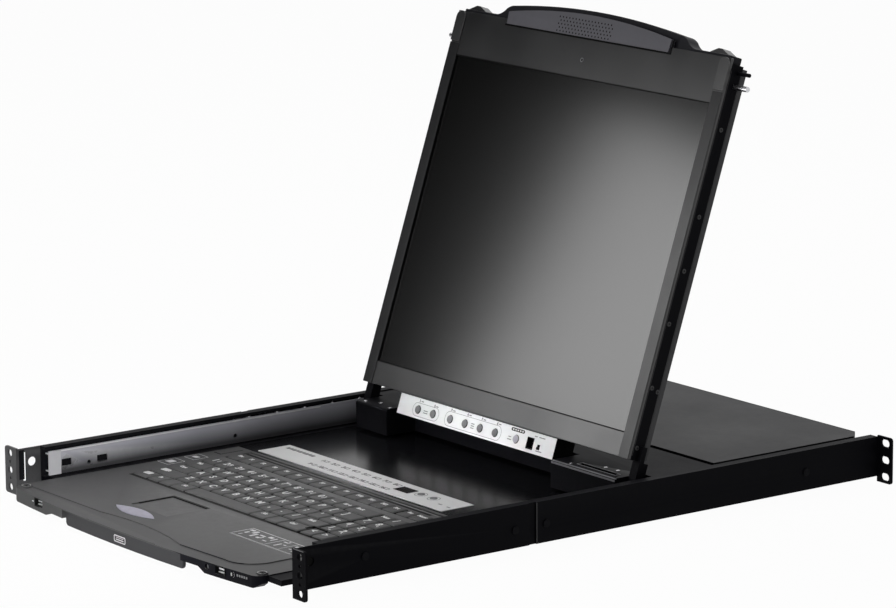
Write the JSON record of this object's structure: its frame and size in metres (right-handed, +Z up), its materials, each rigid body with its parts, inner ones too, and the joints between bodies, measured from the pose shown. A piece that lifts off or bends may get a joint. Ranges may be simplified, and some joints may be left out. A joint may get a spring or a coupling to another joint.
{
  "type": "rackmount lcd console drawer",
  "caption": "One-unit rack drawer with a keyboard module and a folding flat screen on separate slides, ears front and rear, and a fixed switch housing behind.",
  "frame": {"origin": "centre of the front ears' hole pattern, on the ears' rear face that meets the rack", "axes": "+X right, +Y into the rack, +Z up; both modules home, screen leaning open"},
  "size_m": [0.4826, 0.6783, 0.4269],
  "materials": {
    "black_steel": "fine textured black paint",
    "slide_steel": "blue-grey zinc-plated steel",
    "bright_steel": "bright plated steel",
    "palm_plastic": "charcoal satin moulding",
    "gloss_plate": "gloss black sheet",
    "key_plastic": "black key caps",
    "label_grey": "pale grey printed overlay",
    "lavender_plastic": "lavender-grey soft-touch plastic",
    "bezel_plastic": "charcoal screen bezel",
    "strip_plastic": "mid-grey side trim",
    "screen_panel": "dark screen with a soft sheen",
    "housing_white": "white printed face on a black housing",
    "button_grey": "grey moulded buttons",
    "dark_lens": "dark lens",
    "socket_black": "black moulded socket",
    "board_green": "circuit board",
    "supply_case": "folded aluminium case"
  },
  "bodies": {
    "chassis": {"chassis_shell": "black_steel", "front_bracket_left": "black_steel", "front_bracket_right": "black_steel", "rear_bracket_left": "black_steel", "rear_bracket_right": "black_steel", "bracket_screws": "black_steel", "slide_channels": "slide_steel", "rear_cover": "black_steel", "rear_panel": "black_steel", "port_sockets": "bright_steel", "power_entry": "socket_black", "switch_board": "board_green", "power_supply": "supply_case"},
    "power_rocker": {"power_rocker": "socket_black"},
    "ball_cages": {"ball_cages": "bright_steel"},
    "keyboard_module": {"keyboard_pan": "black_steel", "palm_cover": "palm_plastic", "lower_handle": "palm_plastic", "indicator_lenses": "dark_lens", "usb_sockets": "bright_steel", "touchpad": "palm_plastic", "key_plate": "key_plastic", "rear_plate": "gloss_plate", "port_strip": "label_grey"},
    "screen_carriage": {"carriage_rail_left": "slide_steel", "carriage_rail_right": "slide_steel", "carriage_deck": "black_steel", "hinge_brackets": "black_steel"},
    "screen_panel": {"screen_frame": "black_steel", "screen_back_cover": "black_steel", "screen_bezel": "bezel_plastic", "lcd_screen": "screen_panel", "side_trim": "strip_plastic", "upper_handle": "bezel_plastic", "handle_grip": "lavender_plastic", "control_housing": "housing_white", "upgrade_port": "socket_black", "hinge_arms": "black_steel"},
    "click_button": {"click_button": "lavender_plastic"},
    "port_button_back": {"port_button_back": "button_grey"},
    "port_button_next": {"port_button_next": "button_grey"},
    "front_button": {"front_button": "button_grey"},
    "keyboard_catch_left": {"keyboard_catch_left": "palm_plastic"},
    "keyboard_catch_right": {"keyboard_catch_right": "palm_plastic"},
    "upgrade_switch": {"upgrade_switch": "socket_black"},
    "screen_catch_left": {"screen_catch_left": "bezel_plastic"},
    "screen_catch_right": {"screen_catch_right": "bezel_plastic"},
    "keys_row_space": {"keys_row_space": "key_plastic"},
    "keys_row_shift": {"keys_row_shift": "key_plastic"},
    "keys_row_home": {"keys_row_home": "key_plastic"},
    "keys_row_upper": {"keys_row_upper": "key_plastic"},
    "keys_row_digits": {"keys_row_digits": "key_plastic"},
    "keys_row_function": {"keys_row_function": "key_plastic"},
    "osd_button_menu": {"osd_button_menu": "button_grey"},
    "osd_button_auto": {"osd_button_auto": "button_grey"},
    "osd_button_down": {"osd_button_down": "button_grey"},
    "osd_button_up": {"osd_button_up": "button_grey"},
    "osd_button_left": {"osd_button_left": "button_grey"},
    "osd_button_right": {"osd_button_right": "button_grey"},
    "osd_button_lock": {"osd_button_lock": "button_grey"}
  },
  "joints": [
    {"name": "keyboard_slide", "type": "slide", "parent": "chassis", "child": "keyboard_module", "axis": [0, -1, 0], "range_m": [0, 0.42]},
    {"name": "screen_slide", "type": "slide", "parent": "chassis", "child": "screen_carriage", "axis": [0, -1, 0], "range_m": [0, 0.42]},
    {"name": "ball_cage_roll", "type": "slide", "parent": "chassis", "child": "ball_cages", "axis": [0, -1, 0], "range_m": [0, 0.21]},
    {"name": "screen_hinge", "type": "hinge", "parent": "screen_carriage", "child": "screen_panel", "pos_m": [0, 0.38, 0.01075], "axis": [1, 0, 0], "range_deg": [-6.4, 108.6]},
    {"name": "click_button_press", "type": "slide", "parent": "keyboard_module", "child": "click_button", "axis": [0, 0, -1], "range_m": [0, 0.0008], "stiffness_N_per_m": 500, "springref_m": -0.0006},
    {"name": "port_button_back_press", "type": "slide", "parent": "keyboard_module", "child": "port_button_back", "axis": [0, 0, -1], "range_m": [0, 0.0008], "stiffness_N_per_m": 400, "springref_m": -0.0006},
    {"name": "port_button_next_press", "type": "slide", "parent": "keyboard_module", "child": "port_button_next", "axis": [0, 0, -1], "range_m": [0, 0.0008], "stiffness_N_per_m": 400, "springref_m": -0.0006},
    {"name": "front_button_press", "type": "slide", "parent": "keyboard_module", "child": "front_button", "axis": [0, 1, 0], "range_m": [0, 0.001], "stiffness_N_per_m": 400, "springref_m": -0.0006},
    {"name": "keyboard_catch_left_slide", "type": "slide", "parent": "keyboard_module", "child": "keyboard_catch_left", "axis": [1, 0, 0], "range_m": [0, 0.003], "stiffness_N_per_m": 300, "springref_m": -0.002},
    {"name": "keyboard_catch_right_slide", "type": "slide", "parent": "keyboard_module", "child": "keyboard_catch_right", "axis": [-1, 0, 0], "range_m": [0, 0.003], "stiffness_N_per_m": 300, "springref_m": -0.002},
    {"name": "keys_row_space_press", "type": "slide", "parent": "keyboard_module", "child": "keys_row_space", "axis": [0, 0, -1], "range_m": [0, 0.0022], "stiffness_N_per_m": 400, "springref_m": -0.0015},
    {"name": "keys_row_shift_press", "type": "slide", "parent": "keyboard_module", "child": "keys_row_shift", "axis": [0, 0, -1], "range_m": [0, 0.0022], "stiffness_N_per_m": 400, "springref_m": -0.0015},
    {"name": "keys_row_home_press", "type": "slide", "parent": "keyboard_module", "child": "keys_row_home", "axis": [0, 0, -1], "range_m": [0, 0.0022], "stiffness_N_per_m": 400, "springref_m": -0.0015},
    {"name": "keys_row_upper_press", "type": "slide", "parent": "keyboard_module", "child": "keys_row_upper", "axis": [0, 0, -1], "range_m": [0, 0.0022], "stiffness_N_per_m": 400, "springref_m": -0.0015},
    {"name": "keys_row_digits_press", "type": "slide", "parent": "keyboard_module", "child": "keys_row_digits", "axis": [0, 0, -1], "range_m": [0, 0.0022], "stiffness_N_per_m": 400, "springref_m": -0.0015},
    {"name": "keys_row_function_press", "type": "slide", "parent": "keyboard_module", "child": "keys_row_function", "axis": [0, 0, -1], "range_m": [0, 0.0022], "stiffness_N_per_m": 400, "springref_m": -0.0015},
    {"name": "osd_button_menu_press", "type": "slide", "parent": "screen_panel", "child": "osd_button_menu", "axis": [0, 0.9478, -0.319], "range_m": [0, 0.0012], "stiffness_N_per_m": 400, "springref_m": -0.0006},
    {"name": "osd_button_auto_press", "type": "slide", "parent": "screen_panel", "child": "osd_button_auto", "axis": [0, 0.9478, -0.319], "range_m": [0, 0.0012], "stiffness_N_per_m": 400, "springref_m": -0.0006},
    {"name": "osd_button_down_press", "type": "slide", "parent": "screen_panel", "child": "osd_button_down", "axis": [0, 0.9478, -0.319], "range_m": [0, 0.0012], "stiffness_N_per_m": 400, "springref_m": -0.0006},
    {"name": "osd_button_up_press", "type": "slide", "parent": "screen_panel", "child": "osd_button_up", "axis": [0, 0.9478, -0.319], "range_m": [0, 0.0012], "stiffness_N_per_m": 400, "springref_m": -0.0006},
    {"name": "osd_button_left_press", "type": "slide", "parent": "screen_panel", "child": "osd_button_left", "axis": [0, 0.9478, -0.319], "range_m": [0, 0.0012], "stiffness_N_per_m": 400, "springref_m": -0.0006},
    {"name": "osd_button_right_press", "type": "slide", "parent": "screen_panel", "child": "osd_button_right", "axis": [0, 0.9478, -0.319], "range_m": [0, 0.0012], "stiffness_N_per_m": 400, "springref_m": -0.0006},
    {"name": "osd_button_lock_press", "type": "slide", "parent": "screen_panel", "child": "osd_button_lock", "axis": [0, 0.9478, -0.319], "range_m": [0, 0.0012], "stiffness_N_per_m": 400, "springref_m": -0.0006},
    {"name": "upgrade_switch_slide", "type": "slide", "parent": "screen_panel", "child": "upgrade_switch", "axis": [0, 0.319, 0.9478], "range_m": [0, 0.002]},
    {"name": "screen_catch_left_slide", "type": "slide", "parent": "screen_panel", "child": "screen_catch_left", "axis": [1, 0, 0], "range_m": [0, 0.005], "stiffness_N_per_m": 600, "springref_m": -0.003},
    {"name": "screen_catch_right_slide", "type": "slide", "parent": "screen_panel", "child": "screen_catch_right", "axis": [-1, 0, 0], "range_m": [0, 0.005], "stiffness_N_per_m": 600, "springref_m": -0.003},
    {"name": "power_rocker_tilt", "type": "hinge", "parent": "chassis", "child": "power_rocker", "pos_m": [0.184, 0.6452, 0.0015], "axis": [1, 0, 0], "range_deg": [-8, 8]}
  ],
  "couplings": [
    {"joint": "ball_cage_roll", "follows": "screen_slide", "ratio": 0.5}
  ]
}
